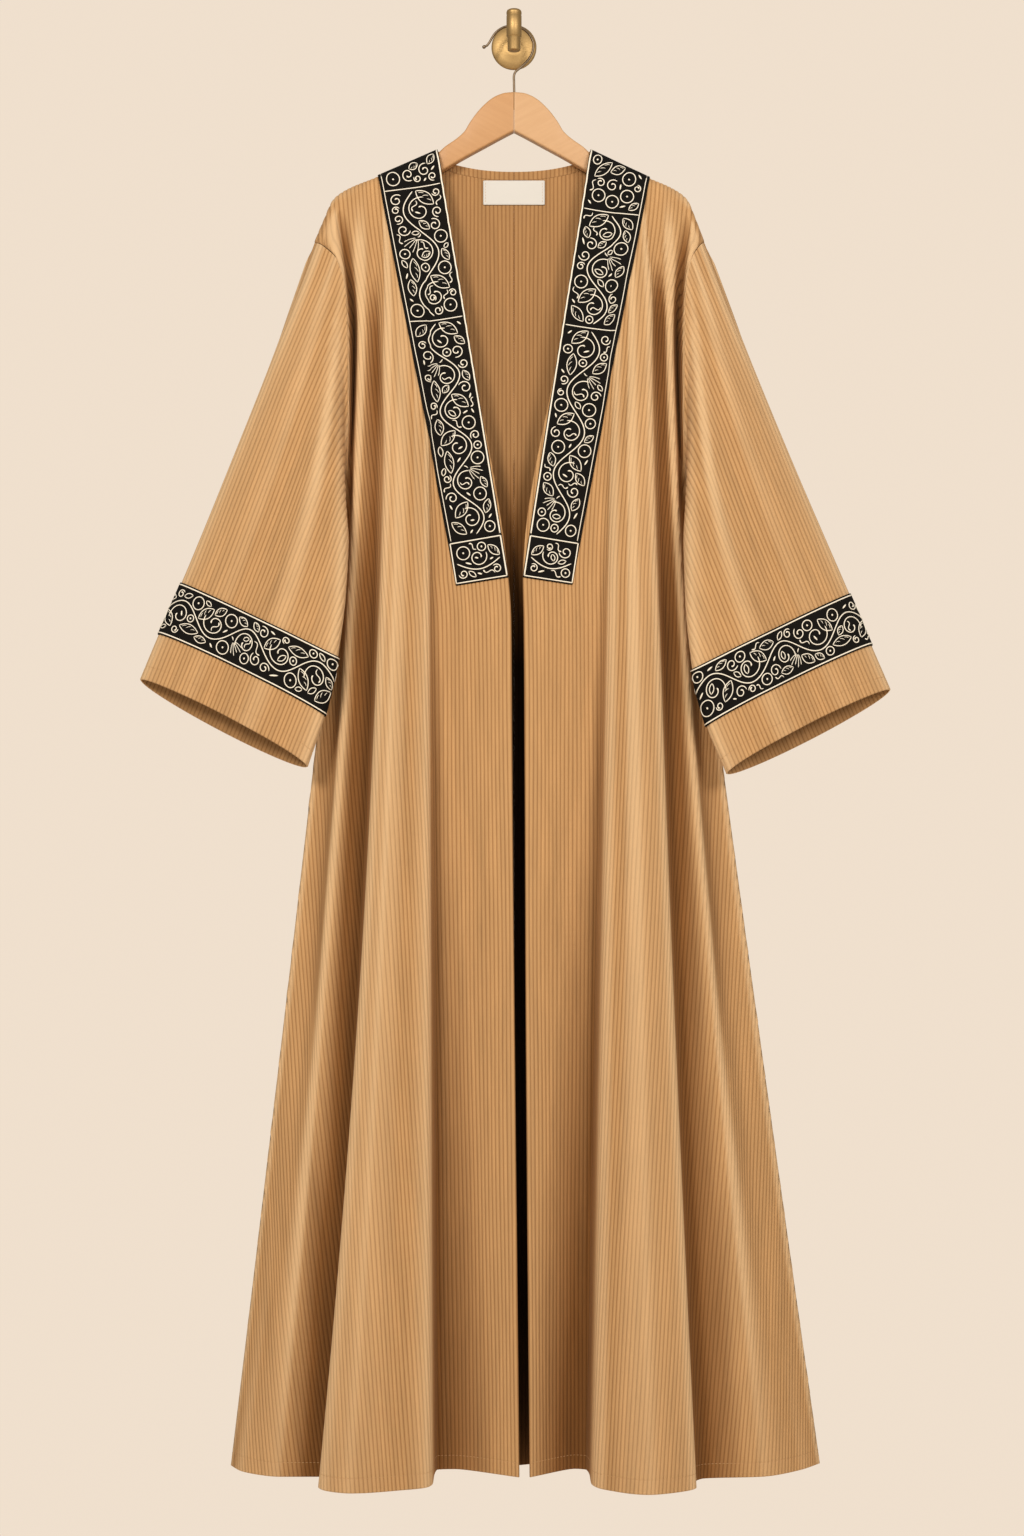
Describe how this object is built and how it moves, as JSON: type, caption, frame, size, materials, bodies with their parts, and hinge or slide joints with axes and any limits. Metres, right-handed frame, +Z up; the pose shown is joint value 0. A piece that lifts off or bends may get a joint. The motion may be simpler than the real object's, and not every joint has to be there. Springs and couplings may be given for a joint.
{
  "type": "open-front abaya on a hanger and wall hook",
  "caption": "Long open-front robe with wide sleeves and banded lapels and cuffs, hanging on a wooden hanger from a round wall hook.",
  "frame": {"origin": "centre of the wall plate's back face, which lies on the wall", "axes": "+Z up, +Y into the wall, the garment's front faces -Y, +X to the viewer's right"},
  "size_m": [0.8206, 0.132, 1.5935],
  "materials": {
    "corduroy": "ribbed corduroy, matt, soft nap",
    "binding": "the same corduroy, folded over the neck edge",
    "embroidered_band": "black cloth with raised cream cord embroidery",
    "label": "white woven label, bare",
    "light_wood": "satin varnish",
    "dark_wood": "satin varnish",
    "wire": "dull bronze-grey",
    "brass": "brushed, aged"
  },
  "bodies": {
    "root": {"front_left": "corduroy", "back_left": "corduroy", "sleeve_left": "corduroy", "neck_binding_left": "binding", "lapel_band_left": "embroidered_band", "lapel_end_left": "embroidered_band", "cuff_band_left": "embroidered_band", "front_right": "corduroy", "back_right": "corduroy", "sleeve_right": "corduroy", "neck_binding_right": "binding", "lapel_band_right": "embroidered_band", "lapel_end_right": "embroidered_band", "cuff_band_right": "embroidered_band", "neck_label": "label", "hanger_arm_left": "dark_wood", "hanger_arm_right": "light_wood", "hanger_hook": "wire", "wall_plate": "brass", "wall_peg": "brass"}
  },
  "joints": []
}
